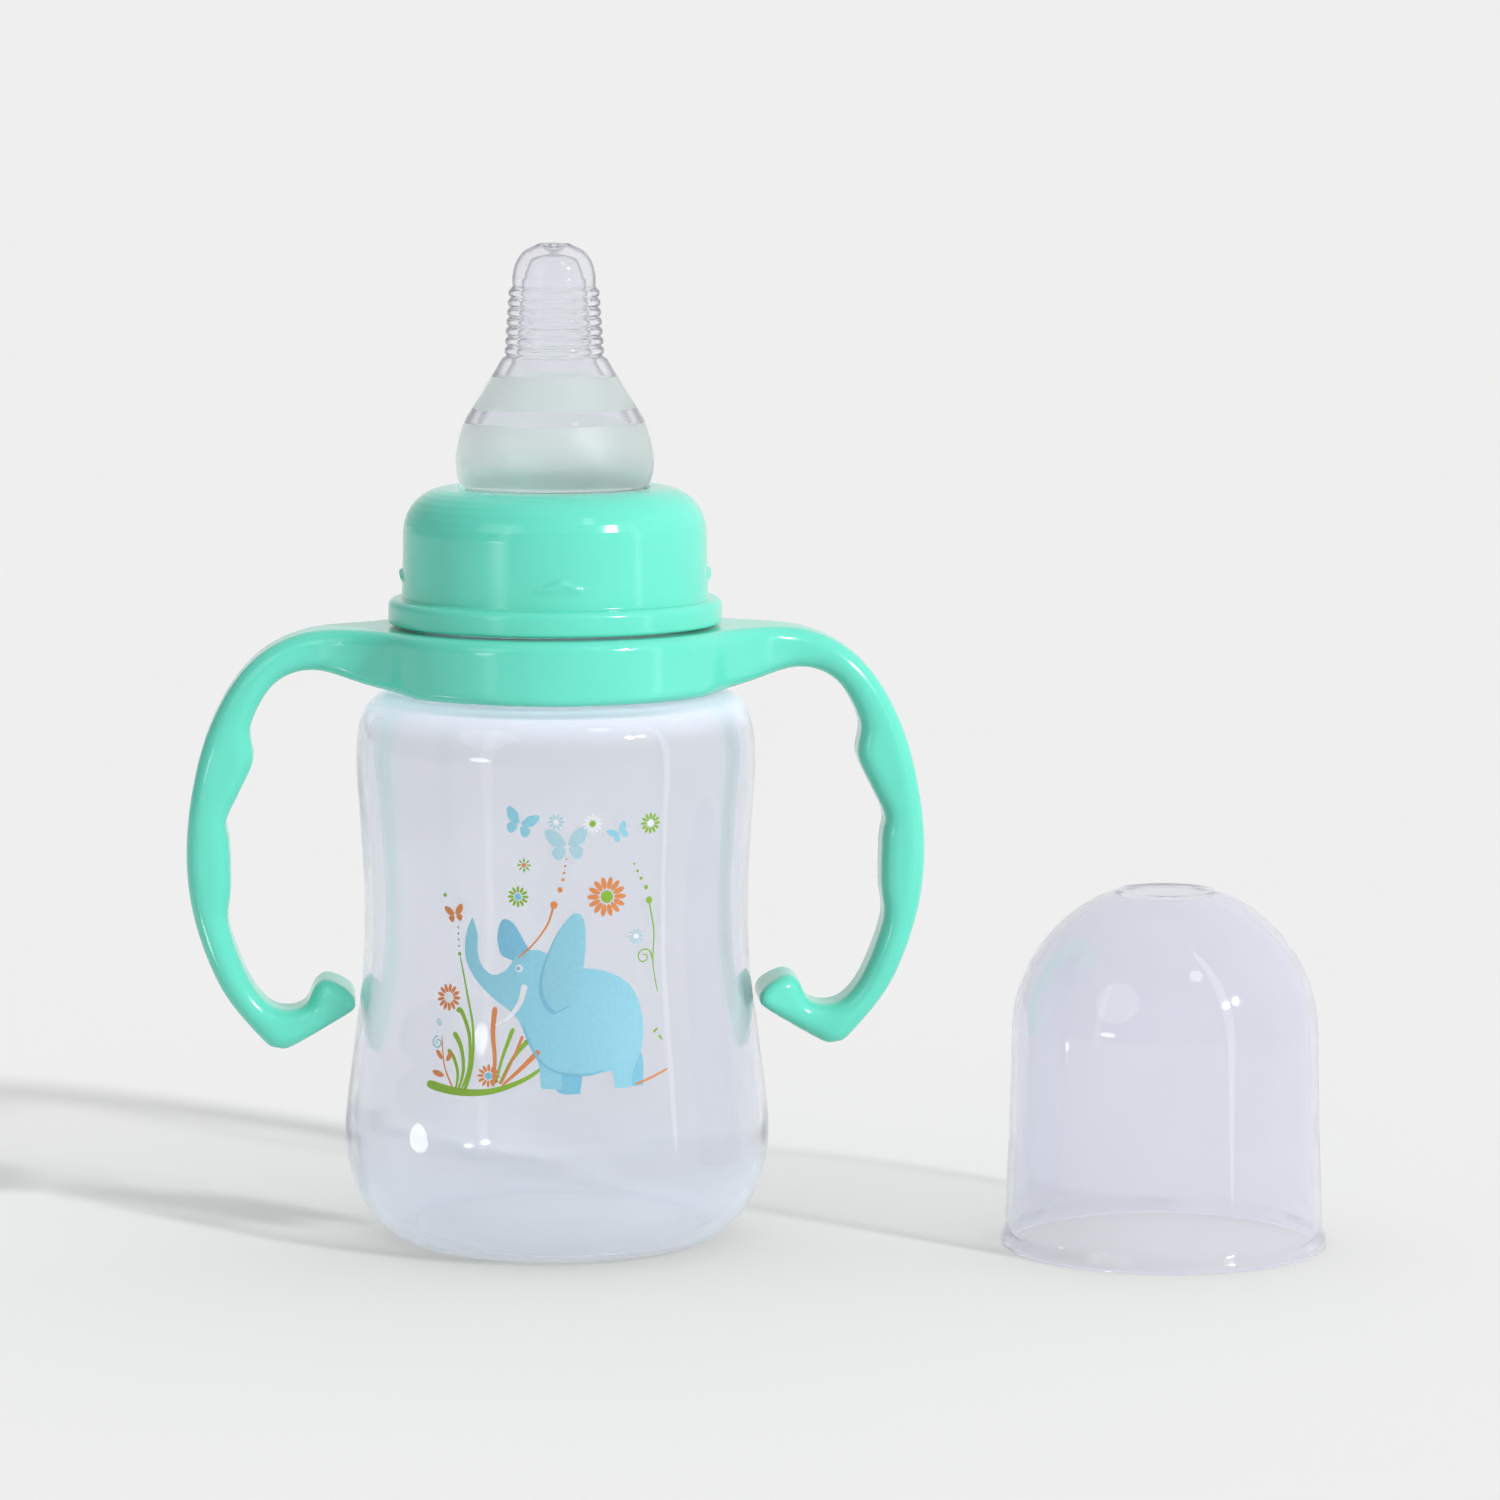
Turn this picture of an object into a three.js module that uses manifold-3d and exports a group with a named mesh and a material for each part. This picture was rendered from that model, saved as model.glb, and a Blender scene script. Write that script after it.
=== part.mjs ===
// A small wide-neck baby bottle: a waisted bottle body, a handle yoke that turns on its neck,
// a screw collar that clamps a silicone teat, and a hood cap that stands beside the bottle.
// Millimetres, +Z up. The origin is the centre of the bottle's flat underside, the handles
// point along X, and the front of the bottle faces -Y.
import * as THREE from "three";
import { mergeVertices } from "three/addons/utils/BufferGeometryUtils.js";
import Module from "manifold-3d";

const wasm = await Module();
wasm.setup();

// Driving dimensions.
const RUNNING_GAP = 0.4;
const AROUND = 36; // facets in a full turn of each round piece

const BODY_WALL = 1.2;
const BASE_RADIUS = 20;
const SHOULDER_TOP = 78;
const NECK_BAND_RADIUS = 19.2; // the plain band that the yoke turns on
const NECK_ROOT_RADIUS = 17.8; // between the threads
const NECK_BORE_RADIUS = 16;
const NECK_RIM = 102.2;
const NECK_BAND_WALL = 1.8;

const YOKE_BORE_RADIUS = NECK_BAND_RADIUS + 0.5;
const YOKE_RADIUS = 26;
const YOKE_BOTTOM = SHOULDER_TOP + 0.4;
const YOKE_TOP = 87;
const YOKE_ARM_HALF_WIDTH = 5;
const YOKE_FILLET = 10; // between the ring and each arm, seen from above

const COLLAR_BOTTOM = YOKE_TOP + RUNNING_GAP;
const COLLAR_TOP = 106.4;
const COLLAR_FLANGE_RADIUS = 23.4;
const COLLAR_FLANGE_HEIGHT = 3.5;
const COLLAR_FLANGE_EDGE = 1; // radius of the flange's upper edge
const COLLAR_WALL_RADIUS = 21.4;
const COLLAR_TAPER = 0.3; // the wall narrows by this much up to the shoulder
const COLLAR_INNER_RADIUS = 19.75;
const COLLAR_SHOULDER_RADIUS = 6.2;
const COLLAR_ROOF = 1.8;
const COLLAR_HOLE_RADIUS = 13;
const NUB_COUNT = 4;
const NUB_HALF_WIDTH = 3.5;
const NUB_HALF_HEIGHT = 0.75;
const NUB_STANDS_OUT = 0.35;
const NUB_HEIGHT_OVER_FLANGE = 3;

const THREAD_PITCH = 4.6;
const THREAD_TURNS = 1.5;
const THREAD_SECTION_RADIUS = 1.1;
const THREAD_START = COLLAR_BOTTOM + 3.4;
const NECK_THREAD_RADIUS = NECK_ROOT_RADIUS + 0.3;
const COLLAR_THREAD_RADIUS = COLLAR_INNER_RADIUS - 0.25;

const TEAT_FLANGE_RADIUS = 17.6;
const TEAT_FLANGE_THICKNESS = 1.8;
const TEAT_GROOVE_RADIUS = COLLAR_HOLE_RADIUS - RUNNING_GAP;
const TEAT_TIP = 140.4;
const TEAT_TIP_WALL = 1.4;
const TEAT_HOLE_RADIUS = 0.6;
const TEAT_MOUTH_RADIUS = 11.2;
const RIB_COUNT = 7;
const RIBS_BOTTOM = 124.8;
const RIBS_TOP = 134.4;
const RIB_LOWEST_RADIUS = 7.05;
const RIB_HIGHEST_RADIUS = 6.2;
const RIB_DEPTH = 0.45;
const VENT_RADIUS = 0.5;
const VENT_FROM_AXIS = 14.4;

const CAP_WALL = 0.9;
const CAP_ROOF = 0.7;
const CAP_HEIGHT = 50.3;
const CAP_LIP_RADIUS = 22.9;
const CAP_LIP_THICKNESS = 1.3;
const CAP_MOUTH_RADIUS = 22.1;
const CAP_DOME_RADIUS = 21.5;
const CAP_FLAT_RADIUS = 6.6;
const CAP_PLACE = new THREE.Vector3(85, -11.4, 0);

const clearPolypropylene = new THREE.MeshStandardMaterial({
  name: "clear_polypropylene",
  color: 0xd8dae8,
  roughness: 0.08,
  metalness: 0,
  transparent: true,
  opacity: 0.4,
});
const mintPlastic = new THREE.MeshStandardMaterial({
  name: "mint_plastic",
  color: 0x70e6c9,
  roughness: 0.2,
  metalness: 0,
});
const silicone = new THREE.MeshStandardMaterial({
  name: "silicone",
  color: 0xd2e2de,
  roughness: 0.35,
  metalness: 0,
  transparent: true,
  opacity: 0.6,
});

const point = (x, y) => new THREE.Vector2(x, y);

// Points along a smooth curve through the given [x, y] pairs.
function smooth(pairs, steps) {
  return new THREE.SplineCurve(pairs.map(([x, y]) => point(x, y))).getPoints(steps);
}

// Points along an arc, with both angles in degrees from +X.
function arc(x, y, radius, from, to, steps) {
  const start = THREE.MathUtils.degToRad(from);
  const end = THREE.MathUtils.degToRad(to);
  const curve = new THREE.EllipseCurve(x, y, radius, radius, start, end, end < start);
  return curve.getPoints(steps);
}

// The same line moved to its left by a wall's thickness.
function inset(points, wall) {
  return points.map((p, i) => {
    const before = points[Math.max(i - 1, 0)];
    const after = points[Math.min(i + 1, points.length - 1)];
    const along = after.clone().sub(before).normalize();
    return point(p.x - wall * along.y, p.y + wall * along.x);
  });
}

// A manifold-3d solid from a closed three.js geometry.
function solid(geometry) {
  const bare = geometry.clone();
  bare.deleteAttribute("normal");
  bare.deleteAttribute("uv");
  const merged = mergeVertices(bare, 1e-4);
  const mesh = new wasm.Mesh({
    numProp: 3,
    vertProperties: merged.attributes.position.array,
    triVerts: new Uint32Array(merged.index.array),
  });
  return new wasm.Manifold(mesh);
}

// A three.js geometry from a manifold-3d solid.
function geometryOf(body) {
  const mesh = body.getMesh();
  const positions = new THREE.BufferAttribute(new Float32Array(mesh.vertProperties), 3);
  const geometry = new THREE.BufferGeometry();
  geometry.setAttribute("position", positions);
  geometry.setIndex(new THREE.BufferAttribute(new Uint32Array(mesh.triVerts), 1));
  geometry.computeVertexNormals();
  return geometry;
}

// A profile of (radius, height) points turned about the Z axis. The profile goes up the
// outside and comes down the inside.
function turned(profile) {
  return new THREE.LatheGeometry(profile, AROUND).rotateX(Math.PI / 2);
}

// A closed profile repeats its first point at the end.
function closed(profile) {
  return [...profile, profile[0].clone()];
}

class Helix extends THREE.Curve {
  constructor(radius, startAngle) {
    super();
    this.radius = radius;
    this.startAngle = startAngle;
  }

  getPoint(t, target = new THREE.Vector3()) {
    const angle = this.startAngle + 2 * Math.PI * THREAD_TURNS * t;
    const height = THREAD_START + THREAD_PITCH * THREAD_TURNS * t;
    return target.set(this.radius * Math.cos(angle), this.radius * Math.sin(angle), height);
  }
}

// A round right-hand thread ridge. The neck's and the collar's start half a turn apart, so
// each lies midway between the other's turns.
function threadRidge(radius, startAngle) {
  const section = new THREE.Shape(arc(0, 0, THREAD_SECTION_RADIUS, 0, 360, 6));
  return solid(
    new THREE.ExtrudeGeometry(section, {
      extrudePath: new Helix(radius, startAngle),
      steps: Math.round(THREAD_TURNS * 18),
    }),
  );
}

function bottleBody() {
  const side = smooth(
    [
      [BASE_RADIUS, 0],
      [23, 1],
      [26.3, 4],
      [28.8, 8.8],
      [29.95, 15.8],
      [28.6, 28],
      [27.2, 40],
      [27.1, 52],
      [28, 67],
      [27.5, 73.4],
      [25.8, 76.6],
      [23.4, SHOULDER_TOP],
    ],
    19,
  );
  const outside = [
    point(0, 0),
    ...side,
    point(NECK_BAND_RADIUS, SHOULDER_TOP),
    point(NECK_BAND_RADIUS, YOKE_TOP),
    point(NECK_ROOT_RADIUS, YOKE_TOP + 1.2),
    point(NECK_ROOT_RADIUS, NECK_RIM - 0.4),
    point(NECK_ROOT_RADIUS - 0.4, NECK_RIM),
  ];
  const inside = [
    point(NECK_BORE_RADIUS + 0.3, NECK_RIM),
    point(NECK_BORE_RADIUS, NECK_RIM - 0.3),
    point(NECK_BORE_RADIUS, YOKE_TOP + 0.6),
    point(NECK_BAND_RADIUS - NECK_BAND_WALL, YOKE_TOP - 1.2),
    point(NECK_BAND_RADIUS - NECK_BAND_WALL, SHOULDER_TOP - 0.4),
    point(NECK_BAND_RADIUS - 1, SHOULDER_TOP - BODY_WALL),
    ...inset(side, BODY_WALL).reverse(),
    point(0, BODY_WALL),
  ];
  const shell = solid(turned([...outside, ...inside]));
  return geometryOf(shell.add(threadRidge(NECK_THREAD_RADIUS, 0)));
}

// The right half of the yoke's outline seen from the front, from the ring's top round the
// hooked handle to the ring's bottom.
function yokeFrontHalf() {
  const outerEdge = smooth(
    [
      [24, YOKE_TOP],
      [35.2, 86.4],
      [43.2, 81.7],
      [48.8, 72.2],
      [51.6, 59.6],
      [51.2, 48],
      [47.4, 36.8],
      [41.6, 29.2],
    ],
    20,
  );
  const hook = smooth(
    [
      [39.2, 27.8],
      [36.8, 28.3],
      [29.6, 32.8],
      [28.4, 34.4],
      [29.4, 36.2],
      [32.2, 37.6],
      [34, 36.7],
      [35.4, 34],
      [38, 33.2],
      [40.7, 34.2],
    ],
    22,
  );
  const gripEdge = smooth(
    [
      [43.4, 37.9],
      [46, 45.2],
      [45.7, 50.4],
      [45.8, 56.6],
      [46.2, 60],
      [44.4, 64],
      [42.4, 68.6],
      [42.7, 73.4],
      [39.4, 79.2],
      [34, 81.2],
      [26.4, 79.4],
      [19.5, YOKE_BOTTOM],
    ],
    30,
  );
  return [...outerEdge, ...hook, ...gripEdge];
}

// The right half of the yoke's outline seen from above: the ring's circle, a concave fillet
// on each side, and a straight arm.
function yokePlanHalf() {
  const filletY = YOKE_ARM_HALF_WIDTH + YOKE_FILLET;
  const filletX = Math.sqrt((YOKE_RADIUS + YOKE_FILLET) ** 2 - filletY ** 2);
  const leaving = THREE.MathUtils.radToDeg(Math.atan2(filletY, filletX));
  const beyondHandle = 60;
  return [
    ...arc(0, 0, YOKE_RADIUS, -90, -leaving, 12),
    ...arc(filletX, -filletY, YOKE_FILLET, 180 - leaving, 90, 6).slice(1),
    point(beyondHandle, -YOKE_ARM_HALF_WIDTH),
    point(beyondHandle, YOKE_ARM_HALF_WIDTH),
    ...arc(filletX, filletY, YOKE_FILLET, -90, leaving - 180, 6),
    ...arc(0, 0, YOKE_RADIUS, leaving, 90, 12).slice(1),
  ];
}

// A whole outline from its right half. Points on the line x = 0 aren't repeated.
function mirrored(half) {
  const offAxis = half.filter((p) => p.x > 0.001);
  const leftHalf = offAxis.map((p) => point(-p.x, p.y)).reverse();
  return new THREE.Shape([...half, ...leftHalf]);
}

// The yoke is what its front outline and its plan have in common, less the bore.
function handleYoke() {
  const through = 2 * YOKE_RADIUS + 2;
  const options = { depth: through, bevelEnabled: false };
  const front = new THREE.ExtrudeGeometry(mirrored(yokeFrontHalf()), options);
  front.rotateX(Math.PI / 2).translate(0, through / 2, 0);
  const plan = new THREE.ExtrudeGeometry(mirrored(yokePlanHalf()), {
    depth: YOKE_TOP + 1,
    bevelEnabled: false,
  });
  const bore = new THREE.CylinderGeometry(YOKE_BORE_RADIUS, YOKE_BORE_RADIUS, through, AROUND);
  bore.rotateX(Math.PI / 2).translate(0, 0, YOKE_TOP);
  return geometryOf(solid(front).intersect(solid(plan)).subtract(solid(bore)));
}

function screwCollar() {
  const flangeTop = COLLAR_BOTTOM + COLLAR_FLANGE_HEIGHT;
  const edge = COLLAR_FLANGE_EDGE;
  const shoulder = COLLAR_SHOULDER_RADIUS;
  const shoulderX = COLLAR_WALL_RADIUS - COLLAR_TAPER - shoulder;
  const roof = COLLAR_TOP - COLLAR_ROOF;
  const profile = [
    point(COLLAR_FLANGE_RADIUS, COLLAR_BOTTOM),
    ...arc(COLLAR_FLANGE_RADIUS - edge, flangeTop - edge, edge, 0, 90, 3),
    point(COLLAR_WALL_RADIUS, flangeTop),
    ...arc(shoulderX, COLLAR_TOP - shoulder, shoulder, 0, 90, 6),
    point(COLLAR_HOLE_RADIUS, COLLAR_TOP),
    point(COLLAR_HOLE_RADIUS, roof),
    point(TEAT_FLANGE_RADIUS + 0.6, roof),
    point(COLLAR_INNER_RADIUS, roof - 3),
    point(COLLAR_INNER_RADIUS, COLLAR_BOTTOM + 1.6),
    point(COLLAR_INNER_RADIUS + 0.45, COLLAR_BOTTOM),
  ];
  const shell = solid(turned(closed(profile)));
  let body = shell.add(threadRidge(COLLAR_THREAD_RADIUS, Math.PI));
  for (let i = 0; i < NUB_COUNT; i += 1) {
    const nub = new THREE.SphereGeometry(1, 12, 8);
    nub.scale(2 * NUB_STANDS_OUT, NUB_HALF_WIDTH, NUB_HALF_HEIGHT);
    nub.translate(COLLAR_WALL_RADIUS - NUB_STANDS_OUT, 0, flangeTop + NUB_HEIGHT_OVER_FLANGE);
    nub.rotateZ((2 * Math.PI * i) / NUB_COUNT);
    body = body.add(solid(nub));
  }
  return geometryOf(body);
}

function teat() {
  const flangeTop = COLLAR_TOP - COLLAR_ROOF - 0.3;
  const flangeBottom = flangeTop - TEAT_FLANGE_THICKNESS;
  const bulbBottom = COLLAR_TOP + 0.3;
  const ribPitch = (RIBS_TOP - RIBS_BOTTOM) / RIB_COUNT;
  const ribs = [];
  for (let i = 0; i < RIB_COUNT; i += 1) {
    const crest = THREE.MathUtils.lerp(RIB_LOWEST_RADIUS, RIB_HIGHEST_RADIUS, i / RIB_COUNT);
    ribs.push(point(crest, RIBS_BOTTOM + ribPitch * (i + 0.25)));
    ribs.push(point(crest - RIB_DEPTH, RIBS_BOTTOM + ribPitch * (i + 0.85)));
  }
  const bulb = smooth([[13.2, bulbBottom], [13.85, 110.3], [12.6, 115.5]], 6);
  const tip = smooth([[5.85, 134.8], [5.4, 137.3], [4.3, 139.3], [2.3, TEAT_TIP]], 7);
  const innerTop = TEAT_TIP - TEAT_TIP_WALL;
  const innerTip = smooth([[1.6, innerTop], [3.2, 138], [4.2, 136], [4.5, 134]], 6);
  const profile = [
    point(TEAT_FLANGE_RADIUS, flangeBottom),
    point(TEAT_FLANGE_RADIUS, flangeTop),
    point(TEAT_GROOVE_RADIUS, flangeTop),
    point(TEAT_GROOVE_RADIUS, bulbBottom),
    ...bulb,
    point(11.5, 117.5),
    point(8.6, 122.2),
    ...ribs,
    ...tip,
    point(TEAT_HOLE_RADIUS, TEAT_TIP),
    point(TEAT_HOLE_RADIUS, innerTop),
    ...innerTip,
    point(5.4, RIBS_BOTTOM),
    point(7.1, 121.8),
    point(11, 115.2),
    point(12.2, 110.3),
    point(TEAT_MOUTH_RADIUS, 107),
    point(TEAT_MOUTH_RADIUS, flangeBottom),
  ];
  const vent = new THREE.CylinderGeometry(VENT_RADIUS, VENT_RADIUS, 6, 10);
  vent.rotateX(Math.PI / 2).translate(0, VENT_FROM_AXIS, flangeTop);
  return geometryOf(solid(turned(closed(profile))).subtract(solid(vent)));
}

function hoodCap() {
  const domeZ = CAP_HEIGHT - Math.sqrt(CAP_DOME_RADIUS ** 2 - CAP_FLAT_RADIUS ** 2);
  const innerDome = CAP_DOME_RADIUS - CAP_WALL;
  const flatFrom = THREE.MathUtils.radToDeg(Math.acos(CAP_FLAT_RADIUS / CAP_DOME_RADIUS));
  const innerTop = CAP_HEIGHT - CAP_ROOF;
  const innerFlat = Math.sqrt(innerDome ** 2 - (innerTop - domeZ) ** 2);
  const innerFrom = THREE.MathUtils.radToDeg(Math.acos(innerFlat / innerDome));
  const inside = [
    point(0, innerTop),
    ...arc(0, domeZ, innerDome, innerFrom, 0, 9),
    point(CAP_MOUTH_RADIUS - CAP_WALL, 9),
    point(CAP_LIP_RADIUS - CAP_LIP_THICKNESS, 0),
  ];
  const outside = [
    point(CAP_LIP_RADIUS, 0),
    point(CAP_LIP_RADIUS, 1),
    point(CAP_LIP_RADIUS - 0.5, 2.2),
    point(CAP_MOUTH_RADIUS, 9),
    ...arc(0, domeZ, CAP_DOME_RADIUS, 0, flatFrom, 9),
    point(0, CAP_HEIGHT),
  ];
  return turned([...inside, ...outside]);
}

function part(name, geometry, material) {
  const mesh = new THREE.Mesh(geometry, material);
  mesh.name = name;
  return mesh;
}

const babyBottle = new THREE.Group();
babyBottle.add(part("bottle_body", bottleBody(), clearPolypropylene));
babyBottle.add(part("handle_yoke", handleYoke(), mintPlastic));
babyBottle.add(part("screw_collar", screwCollar(), mintPlastic.clone()));
babyBottle.add(part("teat", teat(), silicone));

const cap = part("hood_cap", hoodCap(), clearPolypropylene.clone());
cap.position.copy(CAP_PLACE);
babyBottle.add(cap);

export default babyBottle;
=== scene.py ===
"""A small clear baby bottle with a mint handle yoke and screw collar, a silicone teat, a hood
cap standing beside it, and a generic nature print on its front. Lengths are in millimetres
until a mesh is made; Blender's own unit is the metre."""
import math

import bmesh
import bpy
import numpy as np
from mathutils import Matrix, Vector


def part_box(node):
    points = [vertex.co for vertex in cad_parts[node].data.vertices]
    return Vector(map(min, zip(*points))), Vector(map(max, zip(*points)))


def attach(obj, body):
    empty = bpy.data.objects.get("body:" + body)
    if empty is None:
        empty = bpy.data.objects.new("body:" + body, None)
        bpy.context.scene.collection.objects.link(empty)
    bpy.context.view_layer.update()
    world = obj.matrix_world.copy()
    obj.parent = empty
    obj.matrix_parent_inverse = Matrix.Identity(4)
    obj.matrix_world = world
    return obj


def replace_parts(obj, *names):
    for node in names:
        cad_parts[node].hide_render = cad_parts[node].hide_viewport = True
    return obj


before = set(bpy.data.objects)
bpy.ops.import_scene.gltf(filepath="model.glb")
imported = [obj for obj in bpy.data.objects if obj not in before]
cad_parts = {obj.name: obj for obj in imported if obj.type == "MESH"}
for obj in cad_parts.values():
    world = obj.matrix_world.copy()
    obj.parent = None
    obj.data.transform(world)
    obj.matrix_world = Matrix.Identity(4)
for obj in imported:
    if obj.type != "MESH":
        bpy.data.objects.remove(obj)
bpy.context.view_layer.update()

MM = 0.001


def cad_box(node):
    """A CAD node's lowest and highest corners, in millimetres."""
    low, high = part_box(node)
    return low / MM, high / MM


_, BODY_HIGH = cad_box("bottle_body")
YOKE_LOW, YOKE_HIGH = cad_box("handle_yoke")
COLLAR_LOW, COLLAR_HIGH = cad_box("screw_collar")
TEAT_LOW, TEAT_HIGH = cad_box("teat")
CAP_LOW, CAP_HIGH = cad_box("hood_cap")

RUNNING_GAP = 0.4
BODY_WALL = 1.2
YOKE_RING_HEIGHT = 8.6
YOKE_RING_BOTTOM = YOKE_HIGH.z - YOKE_RING_HEIGHT
SHOULDER_TOP = YOKE_RING_BOTTOM - RUNNING_GAP
SHOULDER_RADIUS = 23.4
NECK_BAND_RADIUS = 19.2
NECK_ROOT_RADIUS = 17.8
NECK_BORE_RADIUS = 16.0
THREAD_PITCH = 4.6
THREAD_TURNS = 1.5
THREAD_DEPTH = 1.3
THREAD_HALF_WIDTH = 1.35
THREAD_RUN_OUT = 0.06  # turns at each end where the ridge fades away
THREAD_START = COLLAR_LOW.z + 3.4
COLLAR_WALL_RADIUS = 21.4
COLLAR_INNER_RADIUS = 19.75
COLLAR_HOLE_RADIUS = 13.0
COLLAR_ROOF = 1.8
ON_AXIS = 1e-6  # a radius below this is a point on the axis
SAME_RADIUS = 0.02  # two radii nearer than this are the same surface


# Outlines -----------------------------------------------------------------------------------


def smooth(points, steps):
    """A smooth curve through the points, as a list of `steps` + 1 pairs."""
    known = [np.array(p, float) for p in points]
    last = len(known) - 1
    curve = []
    for i in range(steps + 1):
        place = last * i / steps
        k = min(int(place), last - 1)
        t = place - k
        before = known[max(k - 1, 0)]
        after = known[min(k + 2, last)]
        start, end = known[k], known[k + 1]
        pull, push = (end - before) / 2, (after - start) / 2
        curve.append(
            (2 * t**3 - 3 * t**2 + 1) * start
            + (t**3 - 2 * t**2 + t) * pull
            + (3 * t**2 - 2 * t**3) * end
            + (t**3 - t**2) * push
        )
    return [tuple(p) for p in curve]


def arc(x, y, radius, start, end, steps):
    """Points along an arc, with both angles in degrees from the first axis."""
    angles = [math.radians(start + (end - start) * i / steps) for i in range(steps + 1)]
    return [(x + radius * math.cos(a), y + radius * math.sin(a)) for a in angles]


def filleted(corners, steps=5):
    """An outline from (x, y) or (x, y, fillet radius) corners, with an arc at each fillet. It
    closes on itself where the first corner has a fillet."""
    points = []
    for i, corner in enumerate(corners):
        here = np.array(corner[:2], float)
        radius = corner[2] if len(corner) > 2 else 0
        if not radius:
            points.append(tuple(here))
            continue
        before = np.array(corners[i - 1][:2]) - here
        after = np.array(corners[(i + 1) % len(corners)][:2]) - here
        before, after = before / np.linalg.norm(before), after / np.linalg.norm(after)
        half = math.acos(np.clip(before @ after, -1, 1)) / 2
        reach = radius / math.tan(half)
        centre = here + (before + after) / np.linalg.norm(before + after) * radius / math.sin(half)
        start, end = here + before * reach - centre, here + after * reach - centre
        for k in range(steps + 1):
            t = k / steps
            turn = math.pi - 2 * half
            point = (start * math.sin((1 - t) * turn) + end * math.sin(t * turn)) / math.sin(turn)
            points.append(tuple(centre + point))
    return points


def spread(points, step):
    """The same line with more points, no further apart than `step`."""
    line = [points[0]]
    for start, end in zip(points, points[1:]):
        count = max(1, math.ceil(math.dist(start, end) / step))
        for k in range(1, count + 1):
            t = k / count
            line.append(tuple((1 - t) * a + t * b for a, b in zip(start, end)))
    return line


def inset(points, wall):
    """The same line moved to its left by a wall's thickness."""
    line = []
    for i, (x, y) in enumerate(points):
        ax, ay = points[max(i - 1, 0)]
        bx, by = points[min(i + 1, len(points) - 1)]
        length = math.hypot(bx - ax, by - ay)
        line.append((x - wall * (by - ay) / length, y + wall * (bx - ax) / length))
    return line


# Meshes -------------------------------------------------------------------------------------


def mesh_piece(name, vertices, faces, body, slot, *materials):
    """A smooth-shaded mesh object from millimetre vertices, riding on a CAD body."""
    data = bpy.data.meshes.new(name)
    data.from_pydata([tuple(v) for v in np.asarray(vertices) * MM], [], faces)
    data.validate()
    data.polygons.foreach_set("use_smooth", [True] * len(data.polygons))
    for made in materials:
        data.materials.append(made)
    piece = bpy.data.objects.new(name, data)
    bpy.context.scene.collection.objects.link(piece)
    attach(piece, body)
    return piece


def turned(profile, around, place=(0, 0), radius_at=None):
    """Vertices and faces of a profile turned about the vertical line at `place`.

    The profile goes up the outside and down the inside. It starts and ends on the axis, or
    closes on itself. `radius_at(radius, angle, height)` may push each vertex in or out."""
    angles = [2 * math.pi * k / around for k in range(around)]
    vertices, rings = [], []
    for radius, height in profile:
        if radius < ON_AXIS:
            rings.append([len(vertices)] * around)
            vertices.append((place[0], place[1], height))
            continue
        rings.append(range(len(vertices), len(vertices) + around))
        for a in angles:
            r = radius_at(radius, a, height) if radius_at else radius
            vertices.append((place[0] + r * math.cos(a), place[1] + r * math.sin(a), height))
    faces = []
    pairs = list(zip(rings, rings[1:]))
    if profile[0][0] > ON_AXIS:
        pairs.append((rings[-1], rings[0]))
    for low, high in pairs:
        for k in range(around):
            after = (k + 1) % around
            corners = [low[k], low[after], high[after], high[k]]
            faces.append(list(dict.fromkeys(corners)))
    return vertices, [f for f in faces if len(f) > 2]


def thread_height(angle, height, start_angle):
    """How far a thread's ridge stands out at a place, from 0 to 1."""
    best = 0
    for whole in range(-1, 2):
        turn = whole + ((angle - start_angle) % (2 * math.pi)) / (2 * math.pi)
        across = (height - THREAD_START - THREAD_PITCH * turn) / THREAD_HALF_WIDTH
        fade = np.clip(min(turn, THREAD_TURNS - turn) / THREAD_RUN_OUT, 0, 1)
        best = max(best, (1 - across**2) * fade) if abs(across) < 1 else best
    return math.sqrt(best)


def signed_distance(outline, x, y):
    """The distance from each point to a closed outline, negative inside it."""
    nearest = np.full(x.shape, np.inf)
    inside = np.zeros(x.shape, bool)
    for (ax, ay), (bx, by) in zip(outline, outline[1:] + outline[:1]):
        dx, dy = bx - ax, by - ay
        t = np.clip(((x - ax) * dx + (y - ay) * dy) / (dx * dx + dy * dy + 1e-12), 0, 1)
        nearest = np.minimum(nearest, (x - ax - t * dx) ** 2 + (y - ay - t * dy) ** 2)
        crosses = (ay > y) != (by > y)
        inside ^= crosses & (x < ax + dx * (y - ay) / (dy if dy else 1))
    return np.where(inside, -1, 1) * np.sqrt(nearest)


def distance_table(outline, low, high, step=0.25):
    x, y = (np.arange(a, b + step, step) for a, b in zip(low, high))
    table = signed_distance(outline, *np.meshgrid(x, y, indexing="ij"))
    just_inside = 1.001

    def look_up(px, py):
        u = np.clip((px - low[0]) / step, 0, len(x) - just_inside)
        v = np.clip((py - low[1]) / step, 0, len(y) - just_inside)
        i, j = u.astype(int), v.astype(int)
        s, t = u - i, v - j
        near = table[i, j] * (1 - t) + table[i, j + 1] * t
        far = table[i + 1, j] * (1 - t) + table[i + 1, j + 1] * t
        return near * (1 - s) + far * s

    return look_up


def rounded_both(a, b, radius):
    """What two shapes have in common, with the edge between them rounded."""
    corner = np.hypot(np.maximum(radius + a, 0), np.maximum(radius + b, 0))
    return np.minimum(-radius, np.maximum(a, b)) + corner


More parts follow.
